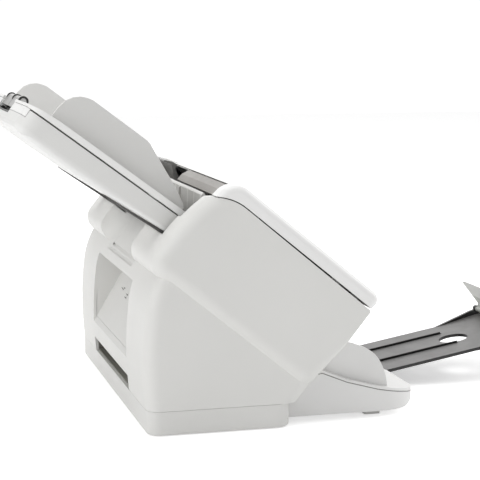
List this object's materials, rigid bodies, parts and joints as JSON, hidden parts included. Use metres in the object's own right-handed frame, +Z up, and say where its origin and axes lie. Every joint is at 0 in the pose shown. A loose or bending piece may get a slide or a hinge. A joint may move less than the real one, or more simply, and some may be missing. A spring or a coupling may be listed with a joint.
{
  "type": "document scanner",
  "caption": "Desktop sheet-fed document scanner with hinged cover, inclined input tray with paper guides, and a folding output arm with a stopper",
  "frame": {"origin": "on the desk, below the middle of the whole length and width", "axes": "+Z up, -Y toward the user and the output arm, +X to the user's right"},
  "size_m": [0.303, 0.4372, 0.246],
  "materials": {
    "shell_plastic": "fine matt texture",
    "inner_plastic": "fine matt texture",
    "dark_plastic": "fine matt texture",
    "bar_plastic": "satin",
    "grey_plastic": "satin",
    "rubber": "matt",
    "roller_rubber": "ground",
    "steel": "ground",
    "plate_steel": "zinc plated",
    "gear_plastic": "satin",
    "bush_plastic": "satin",
    "glass": "polished",
    "board": "lacquered",
    "socket": "satin",
    "motor": "satin",
    "button": "satin",
    "scan_button": "satin",
    "lens": "frosted"
  },
  "bodies": {
    "base": {"base_pan": "shell_plastic", "rubber_feet": "rubber", "pan_screws": "steel", "main_housing": "shell_plastic", "rear_slot_liner": "inner_plastic", "usb_socket": "socket", "dc_socket": "socket", "main_board": "board", "left_side_frame": "plate_steel", "right_side_frame": "plate_steel", "frame_bars": "steel", "shaft_bushes": "bush_plastic", "gear_posts": "steel", "lower_guide": "inner_plastic", "lower_head": "inner_plastic", "lower_glass": "glass", "drive_motor": "motor", "pivot_pins": "steel", "tray_top": "shell_plastic", "tray_shell": "shell_plastic", "tray_mount": "dark_plastic", "stacker_base": "shell_plastic", "stacker_top": "shell_plastic", "stacker_bracket": "grey_plastic"},
    "cover": {"cover_shell": "shell_plastic", "cover_inner": "inner_plastic", "rear_bar": "bar_plastic", "inlet_guide": "inner_plastic", "upper_head": "inner_plastic", "upper_glass": "glass", "cover_board": "board", "lamp_lens": "lens", "upper_shafts": "steel"},
    "latch": {"release_lever": "dark_plastic", "latch_bar": "steel"},
    "power": {"power_button": "button"},
    "stop": {"stop_button": "button"},
    "scan": {"scan_button": "scan_button"},
    "feed_line": {"feed_shaft": "steel", "feed_rollers": "roller_rubber", "feed_gear": "gear_plastic"},
    "pick_line": {"pick_shaft": "steel", "pick_rollers": "roller_rubber", "pick_gear": "gear_plastic"},
    "exit_line": {"exit_shaft": "steel", "exit_rollers": "roller_rubber", "exit_gear": "gear_plastic"},
    "rear_idler": {"rear_idler_gear": "gear_plastic"},
    "front_idler": {"front_idler_gear": "gear_plastic"},
    "motor_rotor": {"motor_pinion": "steel"},
    "separation": {"separation_roller": "roller_rubber"},
    "feed_pinch": {"feed_pinch_rollers": "grey_plastic"},
    "exit_pinch": {"exit_pinch_rollers": "grey_plastic"},
    "left_guide": {"paper_guide_left": "shell_plastic"},
    "right_guide": {"paper_guide_right": "shell_plastic"},
    "guide_gear": {"guide_pinion": "gear_plastic"},
    "extension": {"tray_extension": "shell_plastic", "extension_grip": "dark_plastic"},
    "arm": {"output_arm": "dark_plastic"},
    "stopper": {"paper_stopper": "grey_plastic"}
  },
  "joints": [
    {"name": "cover_hinge", "type": "hinge", "parent": "base", "child": "cover", "pos_m": [0, -0.02432, 0.08237], "axis": [1, 0, 0], "range_deg": [0, 62]},
    {"name": "release_turn", "type": "hinge", "parent": "cover", "child": "latch", "pos_m": [0, 0.06948, 0.16403], "axis": [-1, 0, 0], "range_deg": [0, 12], "stiffness_Nm_per_rad": 0.4, "springref_deg": -20.05},
    {"name": "power_press", "type": "slide", "parent": "cover", "child": "power", "axis": [0, 0.632, -0.7749], "range_m": [0, 0.001], "stiffness_N_per_m": 400, "springref_m": -0.001},
    {"name": "stop_press", "type": "slide", "parent": "cover", "child": "stop", "axis": [0, 0.632, -0.7749], "range_m": [0, 0.001], "stiffness_N_per_m": 400, "springref_m": -0.001},
    {"name": "scan_press", "type": "slide", "parent": "cover", "child": "scan", "axis": [0, 0.632, -0.7749], "range_m": [0, 0.001], "stiffness_N_per_m": 400, "springref_m": -0.001},
    {"name": "feed_spin", "type": "hinge", "parent": "base", "child": "feed_line", "pos_m": [0, 0.06351, 0.11439], "axis": [1, 0, 0], "continuous": true},
    {"name": "pick_spin", "type": "hinge", "parent": "base", "child": "pick_line", "pos_m": [0, 0.08676, 0.13335], "axis": [1, 0, 0], "continuous": true},
    {"name": "exit_spin", "type": "hinge", "parent": "base", "child": "exit_line", "pos_m": [0, 0.00927, 0.07015], "axis": [1, 0, 0], "continuous": true},
    {"name": "rear_idler_spin", "type": "hinge", "parent": "base", "child": "rear_idler", "pos_m": [0, 0.08531, 0.1114], "axis": [1, 0, 0], "continuous": true},
    {"name": "front_idler_spin", "type": "hinge", "parent": "base", "child": "front_idler", "pos_m": [0, 0.03639, 0.09227], "axis": [1, 0, 0], "continuous": true},
    {"name": "motor_spin", "type": "hinge", "parent": "base", "child": "motor_rotor", "pos_m": [0, 0.0713, 0.09706], "axis": [1, 0, 0], "continuous": true},
    {"name": "separation_spin", "type": "hinge", "parent": "cover", "child": "separation", "pos_m": [0, 0.07453, 0.14835], "axis": [1, 0, 0], "continuous": true},
    {"name": "feed_pinch_spin", "type": "hinge", "parent": "cover", "child": "feed_pinch", "pos_m": [0, 0.05318, 0.12706], "axis": [1, 0, 0], "continuous": true},
    {"name": "exit_pinch_spin", "type": "hinge", "parent": "cover", "child": "exit_pinch", "pos_m": [0, -0.00107, 0.08282], "axis": [1, 0, 0], "continuous": true},
    {"name": "left_guide_slide", "type": "slide", "parent": "base", "child": "left_guide", "axis": [1, 0, 0], "range_m": [0, 0.082]},
    {"name": "right_guide_slide", "type": "slide", "parent": "base", "child": "right_guide", "axis": [-1, 0, 0], "range_m": [0, 0.082]},
    {"name": "guide_pinion_turn", "type": "hinge", "parent": "base", "child": "guide_gear", "pos_m": [0, 0.11978, 0.16677], "axis": [0, -0.5962, 0.8028], "range_deg": [0, 475]},
    {"name": "extension_slide", "type": "slide", "parent": "base", "child": "extension", "axis": [0, 0.8028, 0.5962], "range_m": [0, 0.08]},
    {"name": "arm_fold", "type": "hinge", "parent": "base", "child": "arm", "pos_m": [0, -0.069, 0.0105], "axis": [-1, 0, 0], "range_deg": [0, 70]},
    {"name": "stopper_fold", "type": "hinge", "parent": "arm", "child": "stopper", "pos_m": [0, -0.21132, 0.04119], "axis": [-1, 0, 0], "range_deg": [0, 92]}
  ],
  "couplings": [
    {"joint": "pick_spin", "follows": "feed_spin", "ratio": 1},
    {"joint": "exit_spin", "follows": "feed_spin", "ratio": 1},
    {"joint": "rear_idler_spin", "follows": "feed_spin", "ratio": -1.2},
    {"joint": "front_idler_spin", "follows": "feed_spin", "ratio": -0.52174},
    {"joint": "motor_spin", "follows": "feed_spin", "ratio": -1.7143},
    {"joint": "separation_spin", "follows": "feed_spin", "ratio": -1.1111},
    {"joint": "feed_pinch_spin", "follows": "feed_spin", "ratio": -1.6667},
    {"joint": "exit_pinch_spin", "follows": "feed_spin", "ratio": -1.6667},
    {"joint": "right_guide_slide", "follows": "left_guide_slide", "ratio": 1},
    {"joint": "guide_pinion_turn", "follows": "left_guide_slide", "rad_per_m": 100}
  ]
}
